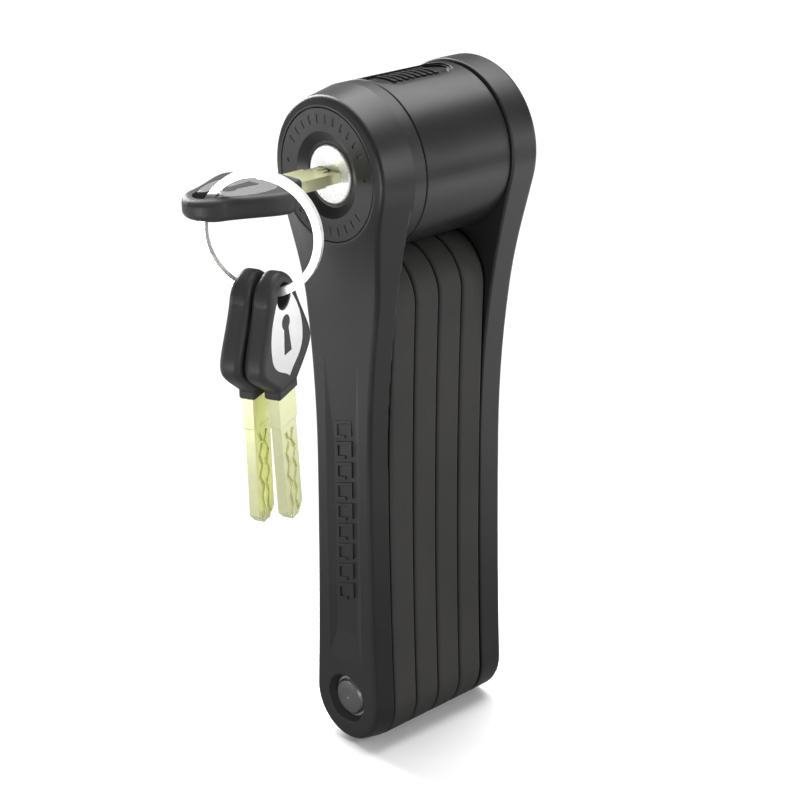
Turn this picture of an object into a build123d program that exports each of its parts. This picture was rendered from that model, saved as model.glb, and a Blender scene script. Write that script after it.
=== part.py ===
from build123d import *
import os
from math import atan2, cos, degrees, hypot, radians, sin, sqrt

# Folding bike lock, in millimetres, folded, with one key in its cylinder and two spares on a ring.
# The origin is the centre of the rear face, on the barrel's axis. +Y leaves by the rear face, so the
# key goes in from -Y. +Z is up, and the arms hang below the barrel.

# Barrel and arms
BARREL_R = 23.0
BARREL_LENGTH = 57.6
FACE_Y = -BARREL_LENGTH
FRONT_SEAM_Y = FACE_Y + 14.9
REAR_SEAM_Y = FACE_Y + 46.65
SEAM_GAP = 0.1
BACK_HEAD_R = 23.9
FRONT_SETBACK = 4.0
BACK_SETBACK = 2.4
FRONT_TAPER = 2.0
FRONT_INNER_Y = FACE_Y + 10.6
BACK_INNER_Y = REAR_SEAM_Y + SEAM_GAP
FRONT_ARM_Y = FACE_Y + FRONT_SETBACK
BACK_ARM_Y = -BACK_SETBACK
STEP_START_R = 18.8
STEP_END_R = 42.0
STEP_SLOPE = 0.3
END_R = 14.0
ARM_WAIST = 12.3
ARM_WAIST_Z = -85.0
HEAD_EDGE_R = 1.4
INNER_EDGE_R = 0.6

# Pivots and links
PIVOT_LOW_Z = -159.4
PIVOT_HIGH_Z = -37.6
LINK_COUNT = 4
LINK_WAIST = 12.8
LINK_PITCH = 8.92
LINK_THICK = 8.62
LINK_START_Y = FRONT_INNER_Y + 0.3
LINK_EDGE_R = 1.0
SKIN = 1.6
LINK_BAR_THICK = 5.0
FRONT_BAR = (FACE_Y + 6.2, FACE_Y + 9.8)
BACK_BAR = (BACK_INNER_Y + 1.0, BACK_INNER_Y + 6.0)
FIT = 0.05

# Rivets
SHANK_R = 3.5
RIVET_HEAD_R = 5.55
RIVET_HEAD = 1.5
RIVET_DOME = 0.35
SPACER_R = 6.0
RECESS_R = 6.15
OUTER_RECESS_R = 7.6

# Panel sunk in the front arm
PANEL_TOP_Z = -53.0
PANEL_LOW_Z = -147.0
PANEL_HALF = 6.8
PANEL_FLOOR_HALF = 4.3
PANEL_DEPTH = 0.9
BAR_COUNT = 9
BAR_PITCH = 6.3
BAR_TOP_Z = -74.0

# Lock cylinder, from the front face inwards
ESCUTCHEON_R = 18.2
ESCUTCHEON_DEEP = 3.0
DISH_R = 11.8
TICK_CIRCLE_R = 15.2
PLUG_FACE_R = 8.0
PLUG_FACE_SET = 1.2
HOUSING_R = 18.9
SLEEVE_BORE_R = 19.0
STATOR_R = 12.0
PLUG_R = 7.0
STATOR_Y = FACE_Y + ESCUTCHEON_DEEP + FIT
STATOR_END_Y = FACE_Y + 29.0
TAIL_END_Y = FACE_Y + 31.3
HOUSING_STEP_Y = FACE_Y + 32.0
FLANGE_Y = REAR_SEAM_Y - 1.6
PIN_R = 1.3
PIN_COUNT = 5
PIN_PITCH = 3.4
PIN_FIRST_Y = FACE_Y + 6.0
KEYWAY = (8.6, 2.9)

# Bolt
BOLT_R = 7.0
BOLT_FLAT = 5.6
BOLT_Y = FACE_Y + 33.5
BOLT_END_Y = FLANGE_Y + 1.5
BOLT_TRAVEL = 8.0
SHAFT_R = 3.6
SHAFT_END_Y = FACE_Y + 43.6
FOLLOWER_R = 0.8
FOLLOWER_Y = FACE_Y + 34.6
SOCKET_R = 13.0

# Screws that hold the sleeve to the housing
SCREW_CIRCLE_R = 13.2
SCREW_HEAD_R = 2.9
SCREW_HEAD = 1.6
SCREW_R = 1.5
SCREW_LENGTH = 8.0

# Badge in the barrel's top
BADGE_HALF = 6.7
BADGE_Y = (FACE_Y + 15.6, FACE_Y + 44.2)
BADGE_FLOOR_R = 21.6
RIB_COUNT = 8
RIB_PITCH = 2.2

# Keys: local origin at the hole's centre, +Y towards the tip
HOLE_R = 3.5
BOW_THICK = 6.0
BOW_HALF = 13.4
BOW_END_Y = -6.2
BOW_EDGE_R = 1.9
COLLAR_Y = 27.8
COLLAR_HALF = 5.2
COLLAR_THICK = 4.8
SHOULDER_Y = 36.6
TIP_Y = 64.4
BLADE = (8.5, 2.8)
SHOULDER = (9.4, 3.2)
KEY_HOLE_Y = FACE_Y - 40.5
INLAY_THICK = 0.5

# Split ring
RING_MEAN_R = 15.6
STRIP = (2.0, 1.0)
RING_PITCH = 1.06
RING_HEADING = 29.4
RING_CATCH = 23.0
SPARE_SPREAD = 3.09
SPARE_DROP = 0.4
SPARE_HEADING = 22.0
SPARE_LEANS = (2.0, 5.5)


def slab(outline, y_low, y_high):
    """Fills an outline drawn in X and Z from y_low to y_high."""
    return extrude(Plane.XZ.offset(-y_high) * outline, y_high - y_low)


def disc(radius, y_low, y_high, x=0.0, z=0.0):
    """A cylinder along Y."""
    return slab(Pos(x, z) * Circle(radius), y_low, y_high)


def ring(outer, inner, y_low, y_high, x=0.0, z=0.0):
    """A tube along Y."""
    return slab(Pos(x, z) * (Circle(outer) - Circle(inner)), y_low, y_high)


def turned(points):
    """A solid turned about Y, from the corners (radius, y) of its half section."""
    return revolve(make_face(Polyline(*points, close=True)), Axis.Y)


def waisted(top_r, top_z, end_r, end_z, waist, waist_z):
    """Two round ends joined by hollow sides: every arc is tangent to the next, and narrowest at the waist."""
    up, down = top_z - waist_z, waist_z - end_z
    up_r = (waist**2 + up**2 - top_r**2) / (2 * (top_r - waist))
    down_r = (waist**2 + down**2 - end_r**2) / (2 * (end_r - waist))
    up_a = degrees(atan2(up, waist + up_r))
    down_a = degrees(atan2(down, waist + down_r))
    arcs = [
        CenterArc((0, top_z), top_r, -up_a, 180 + 2 * up_a),
        CenterArc((0, end_z), end_r, 180 - down_a, 180 + 2 * down_a),
        CenterArc((waist + up_r, waist_z), up_r, 180 - up_a, up_a),
        CenterArc((waist + down_r, waist_z), down_r, 180, down_a),
        CenterArc((-waist - up_r, waist_z), up_r, 0, up_a),
        CenterArc((-waist - down_r, waist_z), down_r, -down_a, down_a),
    ]
    return make_face(arcs)


def arm_outline(inset=0.0, head_r=BARREL_R):
    return waisted(head_r - inset, 0, END_R - inset, PIVOT_LOW_Z, ARM_WAIST - inset, ARM_WAIST_Z)


def link_outline(inset=0.0):
    middle = (PIVOT_LOW_Z + PIVOT_HIGH_Z) / 2
    return waisted(END_R - inset, PIVOT_HIGH_Z, END_R - inset, PIVOT_LOW_Z, LINK_WAIST - inset, middle)


def arm_face(face_y, arm_y, inner_y):
    """All that lies inside an arm's outer face, turned about the barrel's axis. The face is flat round
    the lock, then falls away in an S to the thinner arm."""
    out = 1 if arm_y > face_y else -1
    start, end = (STEP_START_R, face_y), (STEP_END_R, arm_y)
    step = Spline(start, end, tangents=((1, out * STEP_SLOPE), (1, 0)))
    far = 2 * END_R - PIVOT_LOW_Z
    rest = Polyline(end, (far, arm_y), (far, inner_y), (0, inner_y), (0, face_y), start)
    return revolve(make_face([step, rest]), Axis.Y)


def soften(blank, inner_y):
    """Rounds the rim of an arm's outer face, and then, less, the rim of its inner face."""

    def on_rim(edge):
        middle = edge.center()
        crossing = edge.bounding_box().size.Y > 5 or abs(middle.Z) < 0.01
        on_step = abs(hypot(middle.X, middle.Z) - STEP_END_R) < 0.01
        return abs(middle.Y - inner_y) > 1 and not crossing and not on_step

    blank = fillet(blank.edges().filter_by(on_rim), HEAD_EDGE_R)
    inner = blank.edges().filter_by(lambda edge: abs(edge.center().Y - inner_y) < 0.01)
    return fillet(inner, INNER_EDGE_R)


def front_arm_blank():
    """The front arm's moulding, narrower at its outer face than where it meets the links."""
    depth = FRONT_INNER_Y - FACE_Y
    taper = degrees(atan2(FRONT_TAPER, depth))
    block = extrude(Plane.XZ.offset(-FRONT_INNER_Y) * arm_outline(), depth, taper=taper)
    return soften(block & arm_face(FACE_Y, FRONT_ARM_Y, FRONT_INNER_Y), FRONT_INNER_Y)


def back_arm_blank():
    block = slab(arm_outline(0, BACK_HEAD_R), BACK_INNER_Y, 0)
    return soften(block & arm_face(0, BACK_ARM_Y, BACK_INNER_Y), BACK_INNER_Y)


def panel_cut():
    """A long shallow trough whose floor rises to the face at both ends."""
    face, floor = FRONT_ARM_Y, FRONT_ARM_Y + PANEL_DEPTH
    side = make_face(
        Polyline(
            (face - 1, PANEL_TOP_Z), (face, PANEL_TOP_Z), (floor, PANEL_TOP_Z - 26),
            (floor, PANEL_LOW_Z + 9), (face, PANEL_LOW_Z), (face - 1, PANEL_LOW_Z), close=True,
        )
    )
    slope = (PANEL_HALF - PANEL_FLOOR_HALF) / PANEL_DEPTH
    wide, narrow = PANEL_HALF + slope, PANEL_FLOOR_HALF
    section = make_face(
        Polyline((-wide, face - 1), (-narrow, floor), (narrow, floor), (wide, face - 1), close=True)
    )
    trough = extrude(Plane.XY.offset(PANEL_LOW_Z) * section, PANEL_TOP_Z - PANEL_LOW_Z)
    return extrude(Plane.YZ * side, 2 * PANEL_HALF, both=True) & trough


def panel_bars():
    """Plain slanted links standing on the trough's floor, each an open frame with a broken side."""
    half, tall, lean, stroke = 2.9, 4.2, 0.9, 0.9
    path = Polyline(
        (half, lean), (half, tall + lean), (-half, tall - lean), (-half, -lean), (half * 0.2, 0)
    )
    frame = trace(path, stroke)
    floor = FRONT_ARM_Y + PANEL_DEPTH
    places = [Pos(0, BAR_TOP_Z - i * BAR_PITCH - tall / 2) for i in range(BAR_COUNT)]
    return [slab(place * frame, floor - 0.4, floor + 0.2) for place in places]


def rivet_dish(face_y, floor_y):
    """The sloping recess round a rivet's head, from an arm's face down to its bar."""
    out = (face_y - floor_y) / abs(face_y - floor_y)
    slope = (OUTER_RECESS_R - RECESS_R) / abs(face_y - floor_y)
    section = [(0, floor_y), (RECESS_R, floor_y), (OUTER_RECESS_R + slope, face_y + out), (0, face_y + out)]
    return Pos(0, 0, PIVOT_LOW_Z) * turned(section)


def front_arm_cover():
    cover = front_arm_blank()
    shoulder = BARREL_R - FRONT_TAPER / (FRONT_INNER_Y - FACE_Y)
    cover += turned([
        (0, FRONT_INNER_Y - 1), (shoulder, FRONT_INNER_Y - 1), (BARREL_R, FRONT_INNER_Y),
        (BARREL_R, FRONT_SEAM_Y), (0, FRONT_SEAM_Y),
    ])
    seam = cover.edges().filter_by(GeomType.CIRCLE).group_by(Axis.Y)[-1]
    cover = chamfer(seam, 0.3)
    cover -= panel_cut()
    for bar in panel_bars():
        cover += bar
    cover -= slab(arm_outline(SKIN - FIT), FRONT_BAR[0] - FIT, FRONT_BAR[1] + FIT)
    cover -= disc(SLEEVE_BORE_R, FACE_Y + ESCUTCHEON_DEEP, FRONT_SEAM_Y)
    cover -= disc(ESCUTCHEON_R + FIT, FACE_Y - 1, FACE_Y + ESCUTCHEON_DEEP)
    cover -= rivet_dish(FRONT_ARM_Y, FRONT_BAR[0])
    return cover - disc(RECESS_R, FRONT_BAR[0] - 0.1, FRONT_INNER_Y + 1, z=PIVOT_LOW_Z)


def front_arm_bar():
    bar = slab(arm_outline(SKIN), *FRONT_BAR)
    bar -= disc(HOUSING_R + FIT, *FRONT_BAR)
    return bar - disc(SHANK_R + FIT, *FRONT_BAR, z=PIVOT_LOW_Z)


def back_arm_cover():
    cover = back_arm_blank()
    cover -= slab(arm_outline(SKIN - FIT), BACK_BAR[0] - FIT, BACK_BAR[1] + FIT)
    cover -= disc(SOCKET_R + FIT, BACK_INNER_Y, -1.5)
    cover -= rivet_dish(BACK_ARM_Y, BACK_BAR[1])
    return cover - disc(RECESS_R, BACK_INNER_Y - 1, BACK_BAR[1] + 0.1, z=PIVOT_LOW_Z)


def back_arm_bar():
    bar = slab(arm_outline(SKIN), *BACK_BAR)
    bar -= disc(SOCKET_R + FIT, *BACK_BAR)
    return bar - disc(SHANK_R + FIT, *BACK_BAR, z=PIVOT_LOW_Z)


def link_span(index):
    """The start and end of a link's layer along Y. Links count from 1, next to the front arm."""
    start = LINK_START_Y + (index - 1) * LINK_PITCH
    return start, start + LINK_THICK


def bar_span(index):
    """The start and end of the steel in a layer: 0 is the front arm, 5 is the back arm."""
    if index == 0:
        return FRONT_BAR
    if index > LINK_COUNT:
        return BACK_BAR
    middle = sum(link_span(index)) / 2
    return middle - LINK_BAR_THICK / 2, middle + LINK_BAR_THICK / 2


def link_bar(index):
    low, high = bar_span(index)
    bar = slab(link_outline(SKIN), low, high)
    for z in (PIVOT_LOW_Z, PIVOT_HIGH_Z):
        bar -= disc(SHANK_R + FIT, low, high, z=z)
    return bar


def link_sleeve(index):
    low, high = link_span(index)
    bar_low, bar_high = bar_span(index)
    sleeve = slab(link_outline(), low, high)
    sleeve = fillet(sleeve.edges().filter_by(Axis.Y, reverse=True), LINK_EDGE_R)
    sleeve -= slab(link_outline(SKIN - FIT), bar_low - FIT, bar_high + FIT)
    for z in (PIVOT_LOW_Z, PIVOT_HIGH_Z):
        sleeve -= disc(RECESS_R, low - 1, high + 1, z=z)
    return sleeve


def pivot_z(index):
    """Pivots alternate between the low and the high end: 1, 3 and 5 are low."""
    return PIVOT_LOW_Z if index % 2 else PIVOT_HIGH_Z


def rivet(index):
    """A rivet through layer index - 1 and layer index: a shank between two slightly domed heads."""
    low = bar_span(index - 1)[0]
    high = bar_span(index)[1] + FIT
    rim = RIVET_HEAD - RIVET_DOME
    section = [
        (0, low - RIVET_HEAD), (RIVET_HEAD_R * 0.55, low - RIVET_HEAD + 0.08),
        (RIVET_HEAD_R - 0.6, low - rim), (RIVET_HEAD_R, low - rim + 0.6),
        (RIVET_HEAD_R, low), (SHANK_R, low), (SHANK_R, high), (RIVET_HEAD_R, high),
        (RIVET_HEAD_R, high + rim - 0.6), (RIVET_HEAD_R - 0.6, high + rim),
        (RIVET_HEAD_R * 0.55, high + RIVET_HEAD - 0.08), (0, high + RIVET_HEAD),
    ]
    return Pos(0, 0, pivot_z(index)) * turned(section)


def spacer(index):
    """The washer that keeps two layers apart on a rivet."""
    return ring(
        SPACER_R, SHANK_R + FIT, bar_span(index - 1)[1] + FIT, bar_span(index)[0] - FIT, z=pivot_z(index)
    )


def stadium(half, low, high):
    """A round-ended slot outline in X and Y."""
    return Pos(0, (low + high) / 2) * SlotOverall(high - low, 2 * half, rotation=90)


def barrel_sleeve():
    low, high = FRONT_SEAM_Y + SEAM_GAP, REAR_SEAM_Y
    sleeve = disc(BARREL_R, low, high)
    sleeve = chamfer(sleeve.edges().filter_by(GeomType.CIRCLE), 0.3)
    sleeve -= disc(SLEEVE_BORE_R, low, FLANGE_Y)
    sleeve -= disc(BOLT_R + 0.4, FLANGE_Y, high)
    sleeve -= badge_blank(0.0) - disc(BADGE_FLOOR_R, FACE_Y, 0)
    for x, z in screw_places():
        sleeve -= screw(x, z, FIT)
    return sleeve


def badge_blank(inset):
    """The slot's outline, filled upwards through the barrel's top."""
    outline = stadium(BADGE_HALF - inset, BADGE_Y[0] + inset, BADGE_Y[1] - inset)
    return extrude(Plane.XY.offset(BADGE_FLOOR_R - 3) * outline, 10)


def barrel_badge():
    """A curved plate sunk in the barrel's top, with a raised rim and plain cross ribs."""
    rim = badge_blank(0.1) - badge_blank(0.9)
    first = sum(BADGE_Y) / 2 - RIB_PITCH * (RIB_COUNT - 1) / 2
    ribs = [
        Pos(0, first + i * RIB_PITCH, BADGE_FLOOR_R) * Box(7.2, 1.1, 6) for i in range(RIB_COUNT)
    ]
    plate = badge_blank(0.1) & ring(BADGE_FLOOR_R + 0.5, BADGE_FLOOR_R + 0.03, FACE_Y, 0)
    relief = ring(BADGE_FLOOR_R + 1.0, BADGE_FLOOR_R + 0.4, FACE_Y, 0)
    plate += rim & relief
    for rib in ribs:
        plate += rib & relief
    return plate


def screw_places():
    angles = [radians(a) for a in (90, 210, 330)]
    return [(SCREW_CIRCLE_R * cos(a), SCREW_CIRCLE_R * sin(a)) for a in angles]


def screw(x, z, gap=0.0):
    """A countersunk screw through the sleeve's end flange into the housing."""
    top = REAR_SEAM_Y - 0.1
    neck = top - SCREW_HEAD
    wide, narrow = SCREW_HEAD_R + gap, SCREW_R + gap
    head = turned([(0, top), (wide, top), (wide, top - 0.3), (narrow, neck), (0, neck)])
    shank = disc(narrow, top - SCREW_LENGTH - gap, top - 1.0)
    if gap:
        head += disc(wide, top - 0.01, top + 1)
    slot = Pos(0, top, 0) * Box(3.6, 1.4, 0.9)
    body = head + shank
    return Pos(x, 0, z) * (body if gap else body - slot)


def sleeve_screws():
    return Compound(children=[screw(x, z) for x, z in screw_places()])


def bolt_section(gap=0.0):
    """A round with two flats, which slides and can't turn."""
    return Circle(BOLT_R + gap) & Rectangle(2 * (BOLT_FLAT + gap), 3 * BOLT_R)


def lock_housing():
    housing = disc(HOUSING_R, FACE_Y + ESCUTCHEON_DEEP + FIT, FLANGE_Y - FIT)
    housing -= disc(STATOR_R + FIT, FACE_Y, HOUSING_STEP_Y)
    housing -= slab(bolt_section(0.1), HOUSING_STEP_Y, FLANGE_Y)
    for x, z in screw_places():
        housing -= screw(x, z, FIT)
    return housing


def pin_places():
    return [PIN_FIRST_Y + i * PIN_PITCH for i in range(PIN_COUNT)]


def upright(radius, y, z_low, z_high):
    """A cylinder along Z."""
    return Pos(0, y, z_low) * extrude(Circle(radius), z_high - z_low)


def cylinder_stator():
    stator = ring(STATOR_R, PLUG_R + FIT, STATOR_Y, STATOR_END_Y)
    for y in pin_places():
        stator -= upright(PIN_R + FIT, y, PLUG_R - 1, STATOR_R + 1)
    return stator


def escutcheon_ring():
    """The trim disc round the plug, dished towards it, with plain ticks round its flat."""
    face, back = FACE_Y, FACE_Y + ESCUTCHEON_DEEP
    trim = turned([
        (PLUG_FACE_R + 0.15, back), (ESCUTCHEON_R, back), (ESCUTCHEON_R, face + 0.3),
        (ESCUTCHEON_R - 0.3, face), (DISH_R, face), (PLUG_FACE_R + 1.0, face + 1.5),
        (PLUG_FACE_R + 0.15, face + 1.7),
    ])
    tick = Pos(TICK_CIRCLE_R, 0, 0) * Box(2.2, 0.3, 0.8)
    for angle in [*range(30, 151, 12), *range(216, 325, 12)]:
        trim -= Pos(0, face, 0) * Rot(0, -angle, 0) * tick
    for angle in (6, 174):
        x, z = TICK_CIRCLE_R * cos(radians(angle)), TICK_CIRCLE_R * sin(radians(angle))
        trim -= disc(0.55, face - 1, face + 0.2, x, z)
    return trim


def driver_pins():
    return Compound(children=[upright(PIN_R, y, PLUG_R + 0.15, PLUG_R + 2.3) for y in pin_places()])


def pin_springs():
    """A coil above each driver pin, pressing it towards the plug."""
    coils = []
    for y in pin_places():
        path = Helix(pitch=0.75, height=2.1, radius=0.85)
        wire = sweep(Plane(origin=path @ 0, z_dir=path % 0) * Circle(0.16), path, is_frenet=True)
        coils.append(Pos(0, y, PLUG_R + 2.52) * wire)
    return Compound(children=coils)


def keyway(low, high):
    return Pos(0, (low + high) / 2, 0) * Box(KEYWAY[0], high - low, KEYWAY[1])


def key_plug():
    plug = disc(PLUG_R, STATOR_Y, STATOR_END_Y + 0.1) + disc(5.0, STATOR_END_Y, TAIL_END_Y)
    plug -= ring(6.0, 4.2, STATOR_END_Y + 0.1, STATOR_END_Y + 1.25)
    plug -= keyway(FACE_Y, KEY_HOLE_Y + TIP_Y + 1)
    for y in pin_places():
        plug -= upright(PIN_R + FIT, y, 0, PLUG_R + 1)
    return plug


def plug_face():
    face = FACE_Y + PLUG_FACE_SET
    rim = PLUG_FACE_R - 0.3
    plate = turned([
        (0, STATOR_Y), (PLUG_FACE_R, STATOR_Y), (PLUG_FACE_R, face + 0.3), (rim, face), (0, face),
    ])
    return plate - keyway(FACE_Y - 1, FACE_Y + ESCUTCHEON_DEEP + 1)


def key_pins():
    low, high = BLADE[1] / 2 + 0.05, PLUG_R - 0.2
    pins = []
    for y in pin_places():
        pin = upright(PIN_R, y, low, high)
        pins.append(chamfer(pin.edges().group_by(Axis.Z)[0], 0.5))
    return Compound(children=pins)


def retaining_clip():
    """A sprung C-shaped clip in the plug's tail groove, behind the stator."""
    clip = ring(7.6, 4.25, STATOR_END_Y + 0.15, STATOR_END_Y + 1.15)
    return clip - Pos(0, STATOR_END_Y, -6) * Box(5.0, 4, 12)


def drive_shaft():
    """The shaft behind the plug, with a quarter-turn helical groove that drives the bolt."""
    shaft = disc(SHAFT_R, TAIL_END_Y, SHAFT_END_Y)
    steps = 18
    for i in range(-1, steps + 2):
        y = FOLLOWER_Y + BOLT_TRAVEL * i / steps
        cutter = extrude(Circle(FOLLOWER_R + 0.16), SHAFT_R)
        shaft -= Pos(0, y, 0) * Rot(0, -90 * i / steps, 0) * Pos(0, 0, SHAFT_R - 1.3) * cutter
    return shaft


def locking_bolt():
    bolt = slab(bolt_section(), BOLT_Y, BOLT_END_Y)
    bolt = chamfer(bolt.edges().group_by(Axis.Y)[-1], 0.6)
    bolt -= disc(SHAFT_R + 0.1, BOLT_Y, SHAFT_END_Y + 0.3)
    return bolt - upright(FOLLOWER_R, FOLLOWER_Y, 0, BOLT_R + 1)


def follower_pin():
    return upright(FOLLOWER_R, FOLLOWER_Y, SHAFT_R - 1.15, BOLT_R - 0.3)


def bolt_socket():
    """The steel cup in the back arm that the bolt enters."""
    socket = disc(SOCKET_R, BACK_INNER_Y + 0.1, -1.6)
    return socket - slab(bolt_section(0.15), BACK_INNER_Y, -2.6)


def mirrored_face(right):
    """A face that is the same on both sides of X = 0, from the lines on its right."""
    edges = [edge for line in right for edge in line.edges()]
    return make_face(edges + [edge.mirror(Plane.YZ) for edge in edges])


def on_both_faces(outline, z_low, z_high):
    """An outline filled from z_low to z_high, and again below the middle plane."""
    filled = [extrude(Pos(0, 0, low) * outline, z_high - z_low) for low in (z_low, -z_high)]
    return Compound(children=[solid for plate in filled for solid in plate.solids()])


def bow_outline():
    """A leaf: narrow round the hole, widest near the collar, then drawn in to the collar's width."""
    shoulder, foot = (7.4, 0.8), (COLLAR_HALF - 0.6, COLLAR_Y - 1.6)
    right = [
        ThreePointArc((0, BOW_END_Y), (4.9, -3.9), shoulder),
        Spline(shoulder, (BOW_HALF, 18.2), foot, tangents=((0.4, 1), (-1, 1))),
        Line(foot, (0, foot[1])),
    ]
    return mirrored_face(right)


def bow_side():
    """The bow seen from its edge: thinner at the hole's end and at the collar."""
    half, end, low = BOW_THICK / 2, 2.15, 2.1
    upper = [
        Line((BOW_END_Y, 0), (BOW_END_Y, end)),
        Spline((BOW_END_Y, end), (1.5, half), tangents=((1, 0.35), (1, 0))),
        Line((1.5, half), (20.5, half)),
        Spline((20.5, half), (COLLAR_Y, low), tangents=((1, 0), (1, -0.3))),
        Line((COLLAR_Y, low), (COLLAR_Y, 0)),
    ]
    edges = [edge for line in upper for edge in line.edges()]
    outline = make_face(edges + [edge.mirror(Plane.XZ) for edge in edges])
    return extrude(Plane.YZ * outline, BOW_HALF + 1, both=True)


def bow_collar():
    """The square collar that the blade leaves by."""
    low = COLLAR_Y - 7.8
    collar = Pos(0, (low + COLLAR_Y) / 2) * Box(2 * COLLAR_HALF, COLLAR_Y - low, COLLAR_THICK)
    collar = fillet(collar.edges().filter_by(Axis.Y), 0.9)
    return chamfer(collar.faces().sort_by(Axis.Y)[-1].edges(), 0.4)


def inlay_outline(inset=0.0):
    """The bright plate beside and below the hole, drawn out to a point towards the collar."""
    wide = (8.6 - inset, 14.0)
    right = [
        Spline((0, -1.0), (5.4 - inset, 2.4), wide, tangents=((1, 0), (-0.1, 1))),
        Spline(wide, (0, 22.6 - 1.4 * inset), tangents=((-0.1, 1), (-1, 1))),
    ]
    return mirrored_face(right)


def keyhole_mark():
    """A plain keyhole: a round over a flared slot."""
    slot = make_face(Polyline((-0.9, 7.6), (0.9, 7.6), (1.9, 15.8), (-1.9, 15.8), close=True))
    return Pos(0, 7.4) * Circle(2.0) + slot


def key_bow():
    bow = extrude(bow_outline(), BOW_THICK, both=True) & bow_side()
    rim = bow.edges().filter_by(Axis.Z, reverse=True).filter_by(Axis.X, reverse=True)
    bow = fillet(rim, BOW_EDGE_R) + bow_collar()
    bow -= extrude(Circle(HOLE_R), BOW_THICK, both=True)
    face = BOW_THICK / 2
    bow -= on_both_faces(inlay_outline() - keyhole_mark(), face - INLAY_THICK, face + 1)
    return bow - tang(FIT)


def tang(gap=0.0):
    """The part of the blade that the bow is moulded round."""
    low, high = 16.0 - gap, COLLAR_Y + gap
    return Pos(0, (low + high) / 2, 0) * Box(7.4 + 2 * gap, high - low, BLADE[1] + 2 * gap)


def key_inlays():
    shape = inlay_outline(0.05) - offset(keyhole_mark(), 0.05) - Circle(HOLE_R + 0.25)
    return on_both_faces(shape, BOW_THICK / 2 - INLAY_THICK + 0.02, BOW_THICK / 2 - 0.08)


def track(side):
    """The outline of a wavy milled track, on one side of the blade's broad face."""
    steps = 8
    step = (TIP_Y - SHOULDER_Y - 3) / steps
    crests = (1.9, 0.6, 2.4, 1.1, 2.5, 0.7, 1.8, 1.0, 2.2)
    points = [(side * crest, SHOULDER_Y + 2 + i * step) for i, crest in enumerate(crests)]
    return trace(Polyline(*points), 1.3)


def key_blade():
    half, tip = BLADE[0] / 2, 2.6
    outline = make_face(
        Polyline(
            (-half, SHOULDER_Y - 1), (half, SHOULDER_Y - 1), (half, TIP_Y - tip), (half - tip, TIP_Y),
            (tip - half, TIP_Y), (-half, TIP_Y - tip), close=True,
        )
    )
    blade = extrude(outline, BLADE[1] / 2, both=True)
    for side in (1, -1):
        blade -= on_both_faces(track(side), BLADE[1] / 2 - 0.55, BLADE[1])
    shoulder = Pos(0, (COLLAR_Y + SHOULDER_Y) / 2, 0) * Box(SHOULDER[0], SHOULDER_Y - COLLAR_Y, SHOULDER[1])
    front = shoulder.edges().group_by(Axis.Y)[-1]
    return chamfer(front, 0.35) + blade + tang()


def ring_centre():
    """The ring hangs in key 1's hole, caught a little above its own side."""
    catch, heading = radians(RING_CATCH), radians(RING_HEADING)
    reach, fall = RING_MEAN_R * cos(catch), RING_MEAN_R * sin(catch)
    return Vector(reach * cos(heading), KEY_HOLE_Y + reach * sin(heading), -fall)


def ring_plane():
    heading = radians(RING_HEADING)
    return Plane(origin=ring_centre(), x_dir=(0, 0, 1), z_dir=(sin(heading), -cos(heading), 0))


def key_ring():
    """Two turns of flat wire, wound side by side."""
    height = 2 * RING_PITCH
    path = Helix(pitch=RING_PITCH, height=height, radius=RING_MEAN_R)
    start = Plane(origin=path @ 0, x_dir=(1, 0, 0), z_dir=path % 0)
    strip = sweep(start * Rectangle(*STRIP), path, is_frenet=True)
    return ring_plane() * Pos(0, 0, -height / 2) * strip


def key_place(index):
    """Key 1 is in the plug. Keys 2 and 3 hang from the ring's lowest point, side by side."""
    if index == 1:
        return Plane(origin=(0, KEY_HOLE_Y, 0), x_dir=(1, 0, 0), z_dir=(0, 0, 1))
    along = SPARE_SPREAD * (2 * index - 5)
    heading = radians(RING_HEADING)
    drop = sqrt(RING_MEAN_R**2 - along**2) + SPARE_DROP
    hole = ring_centre() + Vector(along * cos(heading), along * sin(heading), -drop)
    facing = radians(SPARE_HEADING)
    normal = Vector(cos(facing), sin(facing), 0)
    lean = radians(SPARE_LEANS[index - 2])
    level = Vector(-sin(facing), cos(facing), 0)
    blade = level * sin(lean) - Vector(0, 0, 1) * cos(lean)
    return Plane(origin=hole, x_dir=blade.cross(normal), z_dir=normal)


def nodes():
    """Every node's name and shape."""
    made = {
        "front_arm_cover": front_arm_cover(),
        "front_arm_bar": front_arm_bar(),
        "back_arm_cover": back_arm_cover(),
        "back_arm_bar": back_arm_bar(),
        "bolt_socket": bolt_socket(),
        "barrel_sleeve": barrel_sleeve(),
        "barrel_badge": barrel_badge(),
        "sleeve_screws": sleeve_screws(),
        "lock_housing": lock_housing(),
        "cylinder_stator": cylinder_stator(),
        "escutcheon_ring": escutcheon_ring(),
        "driver_pins": driver_pins(),
        "pin_springs": pin_springs(),
        "key_plug": key_plug(),
        "plug_face": plug_face(),
        "key_pins": key_pins(),
        "retaining_clip": retaining_clip(),
        "drive_shaft": drive_shaft(),
        "locking_bolt": locking_bolt(),
        "follower_pin": follower_pin(),
        "key_ring": key_ring(),
    }
    for index in range(1, LINK_COUNT + 1):
        made[f"link_{index}_bar"] = link_bar(index)
        made[f"link_{index}_sleeve"] = link_sleeve(index)
    for index in range(1, LINK_COUNT + 2):
        made[f"rivet_{index}"] = rivet(index)
        made[f"spacer_{index}"] = spacer(index)
    blade, bow, inlays = key_blade(), key_bow(), key_inlays()
    for index in (1, 2, 3):
        place = key_place(index)
        made[f"key_{index}_blade"] = place * blade
        made[f"key_{index}_bow"] = place * bow
        made[f"key_{index}_inlays"] = place * inlays
    return made


os.makedirs("parts", exist_ok=True)
for name, shape in nodes().items():
    export_step(shape, f"parts/{name}.step")
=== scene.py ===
import math

import bpy
from mathutils import Matrix, Vector

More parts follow.
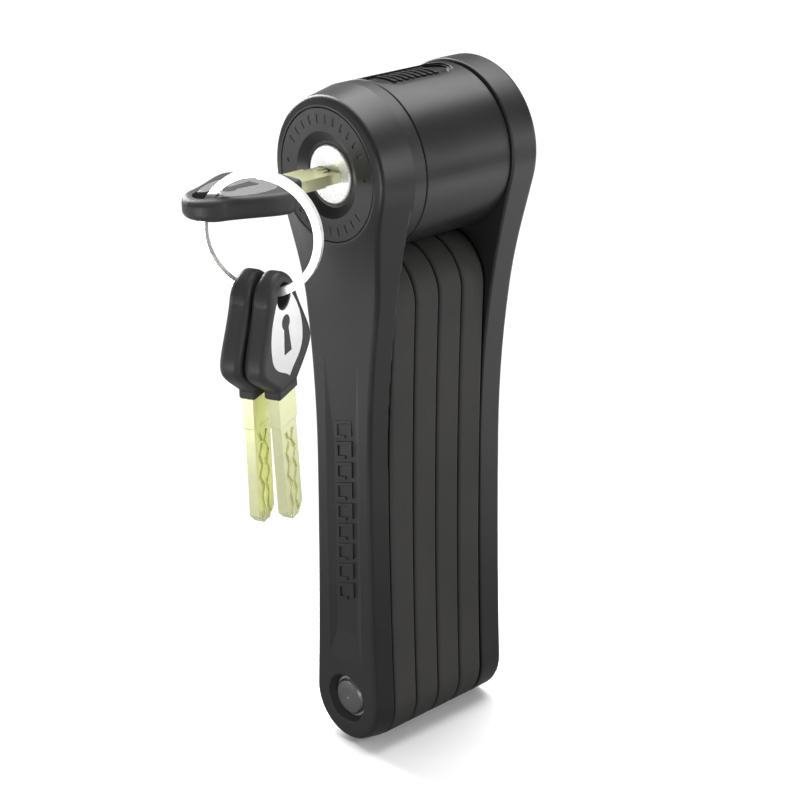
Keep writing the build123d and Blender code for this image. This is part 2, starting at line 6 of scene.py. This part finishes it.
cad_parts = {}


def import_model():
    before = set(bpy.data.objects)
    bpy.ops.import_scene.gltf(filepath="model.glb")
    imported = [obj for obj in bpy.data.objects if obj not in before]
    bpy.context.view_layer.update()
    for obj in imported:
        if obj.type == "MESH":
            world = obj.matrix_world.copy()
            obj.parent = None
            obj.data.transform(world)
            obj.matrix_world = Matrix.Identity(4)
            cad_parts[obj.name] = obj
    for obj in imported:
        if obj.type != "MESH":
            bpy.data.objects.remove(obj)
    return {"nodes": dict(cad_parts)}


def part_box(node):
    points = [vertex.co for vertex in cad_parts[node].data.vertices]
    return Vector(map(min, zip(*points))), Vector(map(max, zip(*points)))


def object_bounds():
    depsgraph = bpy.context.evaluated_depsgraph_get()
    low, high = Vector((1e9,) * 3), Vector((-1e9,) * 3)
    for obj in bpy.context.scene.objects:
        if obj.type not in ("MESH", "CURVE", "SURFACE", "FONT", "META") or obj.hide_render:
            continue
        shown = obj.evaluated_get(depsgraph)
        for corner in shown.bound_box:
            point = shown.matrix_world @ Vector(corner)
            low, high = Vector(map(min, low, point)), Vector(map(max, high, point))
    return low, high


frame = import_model()
CAD_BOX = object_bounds()
NODES = frame["nodes"]
MM = 0.001

# Camera, from the view's own angle on the object
CAMERA_AT = Vector((395.75, -407.1, 146.4)) * MM
CAMERA_AZIMUTH = 46.47
CAMERA_ELEVATION = 21.74
CAMERA_ROLL = -0.32
CAMERA_LENS = 92.7
CAMERA_SENSOR = 36
CAMERA_CLIP = (0.01, 50)

# Radius that shading gives to sharp edges
PLASTIC_EDGE = 0.0003
METAL_EDGE = 0.00015
TURNED_EDGE = 0.0002

# Greys of the floor and the room: what the camera sees, what reflections see, and the rest
FLOOR_GREYS = (0.97, 0.1, 0.2)
ROOM_SEEN = 1.1
ROOM_OTHER = 0.28
FLOOR_RADIUS = 8
FLOOR_CENTRE = (0.0, 0.02, 0)
SHADOW_FADE = (0.035, 0.12)

# Painted reflection on the floor, seen only by reflections: greys along a line from in front of the lock to
# behind it, with painted shade near the lock, a painted highlight patch in front and a bright sweep behind,
# and how much brighter than white they are taken
SWEEP_REACH = 0.5
SWEEP_ALONG = (0.7, 0.7, 0)
PAINTED_REFLECTION_FRONT = ((0.0, 0.03), (0.1, 0.06), (0.15, 0.72), (0.21, 0.6), (0.28, 0.05))
PAINTED_REFLECTION_BEHIND = ((0.6, 0.06), (0.78, 0.45), (0.9, 1.0), (0.955, 0.95), (0.985, 0.08), (1.0, 0.06))
PAINTED_GLOW_STRENGTH = 3.0

# What reflections see of the room, from the horizon up
WALL = ((0.0, 0.3), (0.1, 0.3), (0.2, 0.12), (0.5, 0.1), (0.7, 0.3), (1.0, 0.4))

# ---------------------------------------------------------------- shader helpers


class Shader:
    """A node tree with one Principled shader, and short calls to add what drives it."""

    def __init__(self, name):
        self.material = bpy.data.materials.new(name)
        self.material.use_nodes = True
        self.tree = self.material.node_tree
        self.bsdf = self.tree.nodes["Principled BSDF"]
        self.coordinates = self.add("ShaderNodeTexCoord").outputs["Object"]

    def add(self, kind, **settings):
        node = self.tree.nodes.new(kind)
        for key, value in settings.items():
            setattr(node, key, value)
        return node

    def put(self, socket, value):
        """Links an output to an input, or sets the input's value."""
        if isinstance(value, bpy.types.NodeSocket):
            self.tree.links.new(value, socket)
        else:
            socket.default_value = value

    def math(self, operation, a, b=0.0):
        node = self.add("ShaderNodeMath", operation=operation)
        self.put(node.inputs[0], a)
        self.put(node.inputs[1], b)
        return node.outputs[0]

    def mapped(self, scale=(1, 1, 1), location=(0, 0, 0)):
        """The piece's own coordinates, scaled and then moved."""
        node = self.add("ShaderNodeMapping")
        self.put(node.inputs["Vector"], self.coordinates)
        node.inputs["Scale"].default_value = scale
        node.inputs["Location"].default_value = location
        return node.outputs[0]

    def noise(self, size, detail=2.0, stretch=(1, 1, 1), rough=0.5):
        """Noise whose features are about size metres across."""
        node = self.add("ShaderNodeTexNoise")
        self.put(node.inputs["Vector"], self.mapped(stretch))
        node.inputs["Scale"].default_value = 1 / size
        node.inputs["Detail"].default_value = detail
        node.inputs["Roughness"].default_value = rough
        return node.outputs["Fac"]

    def span(self, value, low, high, to_low, to_high):
        """Maps low..high to to_low..to_high, and holds the ends."""
        node = self.add("ShaderNodeMapRange")
        self.put(node.inputs["Value"], value)
        self.put(node.inputs["From Min"], low)
        self.put(node.inputs["From Max"], high)
        self.put(node.inputs["To Min"], to_low)
        self.put(node.inputs["To Max"], to_high)
        return node.outputs[0]

    def mix(self, factor, a, b):
        node = self.add("ShaderNodeMix", data_type="RGBA")
        self.put(node.inputs[0], factor)
        self.put(node.inputs[6], a)
        self.put(node.inputs[7], b)
        return node.outputs[2]

    def bump(self, height, distance, strength, normal):
        node = self.add("ShaderNodeBump")
        self.put(node.inputs["Height"], height)
        node.inputs["Distance"].default_value = distance
        node.inputs["Strength"].default_value = strength
        self.put(node.inputs["Normal"], normal)
        return node.outputs[0]

    def rounded(self, radius):
        node = self.add("ShaderNodeBevel", samples=4)
        node.inputs["Radius"].default_value = radius
        return node.outputs[0]

    def edges(self, radius):
        """1 on sharp edges and 0 on flat ground, from how far a rounded normal turns."""
        turned = self.rounded(radius)
        true = self.add("ShaderNodeNewGeometry").outputs["Normal"]
        dot = self.add("ShaderNodeVectorMath", operation="DOT_PRODUCT")
        self.put(dot.inputs[0], turned)
        self.put(dot.inputs[1], true)
        return self.span(dot.outputs["Value"], 0.97, 0.7, 0.0, 1.0)

    def set(self, **inputs):
        """Sets or links inputs of the Principled shader, named with _ for a space."""
        for key, value in inputs.items():
            self.put(self.bsdf.inputs[key.replace("_", " ")], value)
        return self.material


def grey(value, warm=0.0):
    """A near-neutral colour; warm above 0 leans to brown."""
    return (value * (1 + warm), value, value * (1 - warm), 1.0)


def scaled(colour, factor):
    return tuple(min(1.0, c * factor) for c in colour[:3]) + (1.0,)


def fill_ramp(node, stops):
    """Gives a colour ramp its stops, each a place and a grey."""
    elements = node.color_ramp.elements
    elements[0].position, elements[0].color = stops[0][0], grey(stops[0][1])
    elements[1].position, elements[1].color = stops[-1][0], grey(stops[-1][1])
    for place, tone in stops[1:-1]:
        elements.new(place).color = grey(tone)


def by_ray(tree, seen, mirrored, other):
    """One colour for the camera, one for reflections and one for every other ray."""
    path = tree.nodes.new("ShaderNodeLightPath")
    colour = other
    for ray, value in (("Is Glossy Ray", mirrored), ("Is Camera Ray", seen)):
        mix = tree.nodes.new("ShaderNodeMix")
        mix.data_type = "RGBA"
        tree.links.new(path.outputs[ray], mix.inputs[0])
        for socket, source in ((mix.inputs[6], colour), (mix.inputs[7], value)):
            if isinstance(source, bpy.types.NodeSocket):
                tree.links.new(source, socket)
            else:
                socket.default_value = source
        colour = mix.outputs[2]
    return colour


# ---------------------------------------------------------------- materials


def moulded_plastic(
    name, tone, warm=0.0, roughness=0.42, grain=0.00035, depth=0.00002, sheen=0.36
):
    """Spark-textured moulding: a fine grain, faint flow clouds, and edges rubbed a little lighter."""
    s = Shader(name)
    clouds = s.noise(0.035, 3.0)
    fine = s.noise(grain, 2.0, rough=0.7)
    scuffs = s.noise(0.0016, 4.0, stretch=(1, 1, 0.18), rough=0.7)
    patches = s.span(s.noise(0.004, 3.0), 0.42, 0.6, 0.15, 0.8)
    wear = s.math("MULTIPLY", s.edges(PLASTIC_EDGE), patches)
    dark, light = grey(tone * 0.86, warm), grey(tone * 1.14, warm)
    base = s.mix(s.span(clouds, 0.35, 0.65, 0.0, 1.0), dark, light)
    base = s.mix(s.span(fine, 0.35, 0.7, 0.0, 0.35), base, grey(tone * 1.7, warm))
    colour = s.mix(s.math("MULTIPLY", wear, 0.5), base, grey(min(1.0, tone * 3.2), warm))
    rough = s.span(clouds, 0.3, 0.7, roughness - 0.05, roughness + 0.06)
    rough = s.math("ADD", rough, s.span(scuffs, 0.55, 0.75, 0.0, -0.07))
    rough = s.math("SUBTRACT", rough, s.math("MULTIPLY", wear, 0.08))
    return s.set(
        Base_Color=colour,
        Roughness=rough,
        Normal=s.bump(fine, depth, 0.6, s.rounded(PLASTIC_EDGE)),
        Specular_IOR_Level=sheen,
    )


def metal(
    name, colour, roughness, stretch=(1, 1, 1), grain=0.0006, depth=0.000006, polish=1.0, tarnish=0.72
):
    """Metal with tool marks: noise drawn out along the direction of the cut, and soft tarnish clouds.
    A polish below 1 gives the milky body of a satin plated finish."""
    s = Shader(name)
    marks = s.noise(grain, 3.0, stretch, rough=0.65)
    clouds = s.noise(0.006, 4.0, rough=0.6)
    base = s.mix(s.span(clouds, 0.4, 0.72, 0.0, 0.7), colour, scaled(colour, tarnish))
    base = s.mix(s.math("MULTIPLY", s.edges(METAL_EDGE), 0.5), base, scaled(colour, 1.25))
    rough = s.span(marks, 0.3, 0.7, roughness * 0.75, roughness * 1.35)
    return s.set(
        Base_Color=base,
        Metallic=polish,
        Roughness=rough,
        Normal=s.bump(marks, depth, 0.8, s.rounded(METAL_EDGE)),
    )


def turned_metal(name, colour, centre, roughness, pitch=0.00022, polish=1.0):
    """A lathe-turned face: fine rings round a centre on an axis along Y."""
    s = Shader(name)
    moved = s.mapped(location=(-centre[0], 0, -centre[1]))
    split = s.add("ShaderNodeSeparateXYZ")
    s.put(split.inputs[0], moved)
    across = s.math("POWER", split.outputs[0], 2.0)
    upward = s.math("POWER", split.outputs[2], 2.0)
    radius = s.math("SQRT", s.math("ADD", across, upward))
    rings = s.math("SINE", s.math("MULTIPLY", radius, 2 * math.pi / pitch))
    uneven = s.noise(0.0015, 3.0)
    height = s.math("MULTIPLY", rings, s.span(uneven, 0.3, 0.7, 0.3, 1.0))
    clouds = s.noise(0.004, 4.0, rough=0.6)
    base = s.mix(s.span(clouds, 0.45, 0.7, 0.0, 0.6), colour, scaled(colour, 0.85))
    rough = s.span(clouds, 0.3, 0.7, roughness * 0.8, roughness * 1.4)
    return s.set(
        Base_Color=base,
        Metallic=polish,
        Roughness=rough,
        Normal=s.bump(height, 0.000003, 0.5, s.rounded(TURNED_EDGE)),
    )


def paint(material, *names):
    """Gives the named pieces one material in place of the one they came with."""
    for name in names:
        node = NODES[name]
        node.data.materials.clear()
        node.data.materials.append(material)


def materials():
    """Makes every material and puts it on its pieces."""
    arm = moulded_plastic("arm_plastic", 0.014, roughness=0.40)
    barrel = moulded_plastic("barrel_plastic", 0.012, roughness=0.34)
    link = moulded_plastic(
        "link_plastic", 0.045, warm=0.03, roughness=0.6, grain=0.0003, sheen=0.14
    )
    trim = moulded_plastic("trim_plastic", 0.012, roughness=0.36, grain=0.0003)
    bow = moulded_plastic(
        "key_plastic", 0.034, roughness=0.46, grain=0.0002, depth=0.000008, sheen=0.25
    )
    nylon = moulded_plastic("spacer_nylon", 0.5, warm=0.03, roughness=0.5)
    steel = metal("hardened_steel", grey(0.42), 0.32, (1, 1, 0.08))
    badge = metal("badge_metal", grey(0.05), 0.35, (1, 0.1, 1))
    brass = metal("brass", (0.66, 0.5, 0.22, 1), 0.25, (0.1, 1, 0.1))
    bright = metal("spring_steel", grey(0.6), 0.2)
    chrome = metal(
        "chrome", grey(0.66), 0.2, grain=0.0004, depth=0.000001, polish=0.75, tarnish=0.93
    )
    nickel = metal(
        "ring_steel", grey(0.95), 0.2, grain=0.0005, depth=0.0000015, polish=0.35, tarnish=0.93
    )
    key_colour = (0.94, 0.96, 0.58, 1)
    paint(arm, "front_arm_cover", "back_arm_cover")
    paint(barrel, "barrel_sleeve")
    paint(trim, "escutcheon_ring")
    paint(link, *[f"link_{i}_sleeve" for i in range(1, 5)])
    paint(steel, *[f"link_{i}_bar" for i in range(1, 5)])
    paint(steel, "front_arm_bar", "back_arm_bar", "lock_housing", "locking_bolt", "bolt_socket")
    paint(steel, "drive_shaft", "follower_pin")
    paint(nylon, *[f"spacer_{i}" for i in range(1, 6)])
    paint(badge, "barrel_badge")
    paint(brass, "cylinder_stator", "key_plug", "driver_pins", "key_pins")
    paint(bright, "pin_springs", "retaining_clip", "sleeve_screws")
    for i in range(1, 6):
        low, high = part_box(f"rivet_{i}")
        centre = ((low.x + high.x) / 2, (low.z + high.z) / 2)
        paint(turned_metal(f"rivet_steel_{i}", grey(0.21), centre, 0.3), f"rivet_{i}")
    paint(turned_metal("plug_chrome", grey(0.78), (0, 0), 0.25, polish=0.5), "plug_face")
    for i in (1, 2, 3):
        stretch = (1, 0.12, 1) if i == 1 else (1, 1, 0.12)
        brass_cut = metal(
            f"key_brass_{i}", key_colour, 0.2, stretch, 0.00035, 0.0000008, polish=0.6, tarnish=0.97
        )
        paint(brass_cut, f"key_{i}_blade")
        paint(bow, f"key_{i}_bow")
        paint(chrome, f"key_{i}_inlays")
    paint(nickel, "key_ring")


# ---------------------------------------------------------------- stage, light and camera


def floor():
    """Holds a soft shadow near the lock and is clear further off, where the white room shows through, so
    that pieces hanging below it are seen. For reflections only it glows as a painted reflection: dark under
    the lock as painted shade, with a painted highlight patch in front and a bright sweep behind."""
    low = CAD_BOX[0]
    bpy.ops.mesh.primitive_circle_add(
        vertices=96, radius=FLOOR_RADIUS, fill_type="NGON", location=(0, 0, low.z)
    )
    disc = bpy.context.object
    disc.name = "floor"
    s = Shader("floor")
    rays = s.add("ShaderNodeLightPath").outputs
    length = s.add("ShaderNodeVectorMath", operation="LENGTH")
    s.put(length.inputs[0], s.mapped(location=FLOOR_CENTRE))
    far = s.span(length.outputs["Value"], *SHADOW_FADE, 0.0, 1.0)
    along = s.add("ShaderNodeVectorMath", operation="DOT_PRODUCT")
    s.put(along.inputs[0], s.coordinates)
    along.inputs[1].default_value = SWEEP_ALONG
    place = s.span(along.outputs["Value"], -SWEEP_REACH, SWEEP_REACH, 0.0, 1.0)
    # Greys of the painted reflection: painted shade near the lock, a painted highlight patch in front, a
    # bright sweep behind
    sweep = s.add("ShaderNodeValToRGB")
    s.put(sweep.inputs[0], place)
    fill_ramp(sweep, PAINTED_REFLECTION_FRONT + PAINTED_REFLECTION_BEHIND)
    # Painted reflection: the floor glows with these greys for reflections only, though it is no lamp
    mirrored = s.add("ShaderNodeEmission")
    s.put(mirrored.inputs["Color"], sweep.outputs[0])
    s.put(mirrored.inputs["Strength"], s.math("MULTIPLY", rays["Is Glossy Ray"], PAINTED_GLOW_STRENGTH))
    clear = s.add("ShaderNodeBsdfTransparent")
    direct = s.math("MAXIMUM", rays["Is Camera Ray"], rays["Is Shadow Ray"])
    colour = by_ray(s.tree, *(grey(tone) for tone in FLOOR_GREYS))
    s.set(Base_Color=colour, Roughness=0.7, Specular_IOR_Level=0.1)
    lit = s.add("ShaderNodeAddShader")
    blend = s.add("ShaderNodeMixShader")
    s.put(blend.inputs[0], s.math("MULTIPLY", far, direct))
    for source, target in (
        (s.bsdf, lit.inputs[0]),
        (mirrored, lit.inputs[1]),
        (lit, blend.inputs[1]),
        (clear, blend.inputs[2]),
        (blend, s.tree.nodes["Material Output"].inputs[0]),
    ):
        s.tree.links.new(source.outputs[0], target)
    disc.data.materials.append(s.material)


def world():
    """A white room to the camera. Reflections see a bright band low down and a dimmer wall above it."""
    scene_world = bpy.data.worlds.new("studio")
    bpy.context.scene.world = scene_world
    scene_world.use_nodes = True
    tree = scene_world.node_tree
    direction = tree.nodes.new("ShaderNodeTexCoord").outputs["Generated"]
    split = tree.nodes.new("ShaderNodeSeparateXYZ")
    tree.links.new(direction, split.inputs[0])
    wall = tree.nodes.new("ShaderNodeValToRGB")
    tree.links.new(split.outputs[2], wall.inputs[0])
    fill_ramp(wall, WALL)
    background = tree.nodes["Background"]
    colour = by_ray(tree, grey(ROOM_SEEN), wall.outputs[0], grey(ROOM_OTHER))
    tree.links.new(colour, background.inputs["Color"])
    background.inputs["Strength"].default_value = 1.0


def softbox(name, place, aim, size, power):
    """A rectangular soft light at a place, facing a point."""
    light = bpy.data.lights.new(name, "AREA")
    light.shape = "RECTANGLE"
    light.size, light.size_y = size
    light.energy = power
    lamp = bpy.data.objects.new(name, light)
    lamp.location = place
    lamp.rotation_mode = "QUATERNION"
    lamp.rotation_quaternion = (Vector(aim) - Vector(place)).to_track_quat("-Z", "Y")
    bpy.context.scene.collection.objects.link(lamp)


def lights():
    """Sizes and places in metres, powers in watts."""
    middle = (CAD_BOX[0] + CAD_BOX[1]) / 2
    head = (0, -0.03, 0)
    softbox("overhead", middle + Vector((-0.15, 0.45, 1.05)), middle, (1.0, 0.9), 19)
    softbox("right_strip", (0.52, 0.85, 0.0), head, (0.35, 0.06), 1.6)
    softbox("right_high", (0.5, 0.12, 0.12), head, (0.25, 0.25), 1.1)
    softbox("left_rim", (-0.8, 0.05, 0.45), head, (0.3, 0.9), 17)
    softbox("front_glow", (-0.38, -0.5, -0.06), (0, -0.055, -0.02), (0.22, 0.16), 0.75)
    softbox("key_glow", (0.12, -0.55, -0.1), (0, -0.08, -0.04), (0.3, 0.1), 1.2)


def camera():
    """Looks along the azimuth and elevation, turned by a slight roll."""
    data = bpy.data.cameras.new("camera")
    data.sensor_width = CAMERA_SENSOR
    data.lens = CAMERA_LENS
    data.clip_start, data.clip_end = CAMERA_CLIP
    eye = bpy.data.objects.new("camera", data)
    a, e = math.radians(CAMERA_AZIMUTH), math.radians(CAMERA_ELEVATION)
    back = Vector((math.sin(a) * math.cos(e), -math.cos(a) * math.cos(e), math.sin(e)))
    turn = (-back).to_track_quat("-Z", "Y").to_matrix() @ Matrix.Rotation(math.radians(CAMERA_ROLL), 3, "Z")
    eye.matrix_world = Matrix.Translation(CAMERA_AT) @ turn.to_4x4()
    bpy.context.scene.collection.objects.link(eye)
    bpy.context.scene.camera = eye


materials()
floor()
world()
lights()
camera()
bpy.context.scene.view_settings.view_transform = "Standard"
